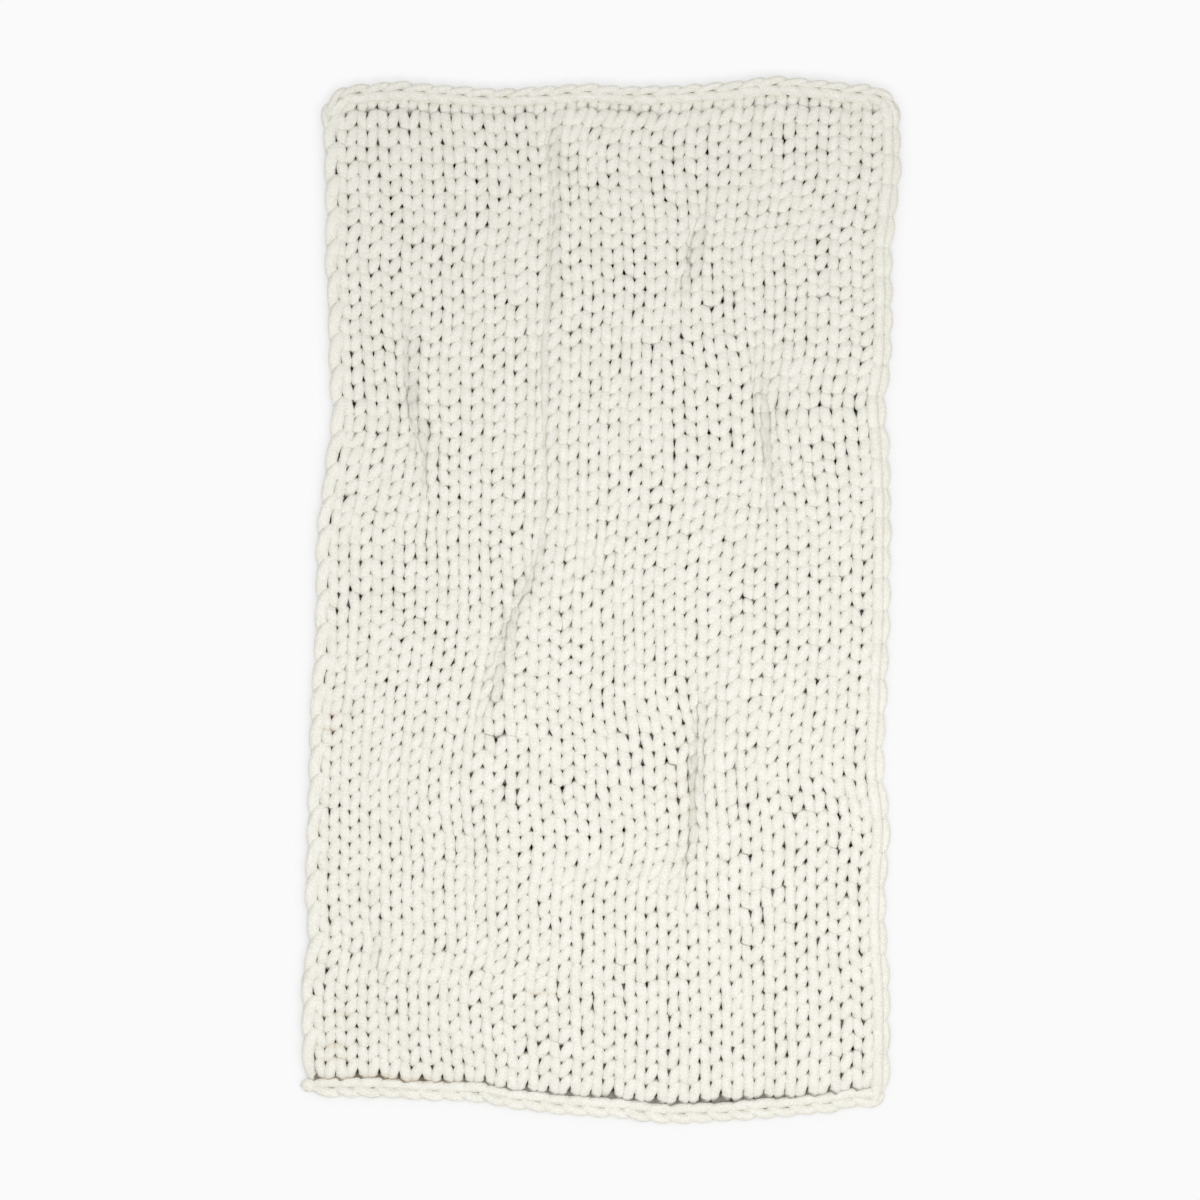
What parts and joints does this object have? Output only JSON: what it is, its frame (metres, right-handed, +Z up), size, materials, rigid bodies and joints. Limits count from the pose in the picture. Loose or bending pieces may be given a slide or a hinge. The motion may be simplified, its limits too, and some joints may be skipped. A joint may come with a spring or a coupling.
{
  "type": "chunky knit weighted blanket",
  "caption": "Chunky hand-knit weighted blanket of thick off-white tube yarn in stockinette, spread out flat, with a bind-off braid and a cast-on chain.",
  "frame": {"origin": "middle of the flat base, on the surface that the blanket rests on", "axes": "+Z up out of the knitted face, +Y along the wales towards the bind-off braid, +X across the wales"},
  "size_m": [1.0718, 1.8608, 0.0478],
  "materials": {
    "tube_yarn": "matte, smooth cotton jersey tube yarn"
  },
  "bodies": {
    "root": {"knitted_blanket": "tube_yarn"}
  },
  "joints": []
}
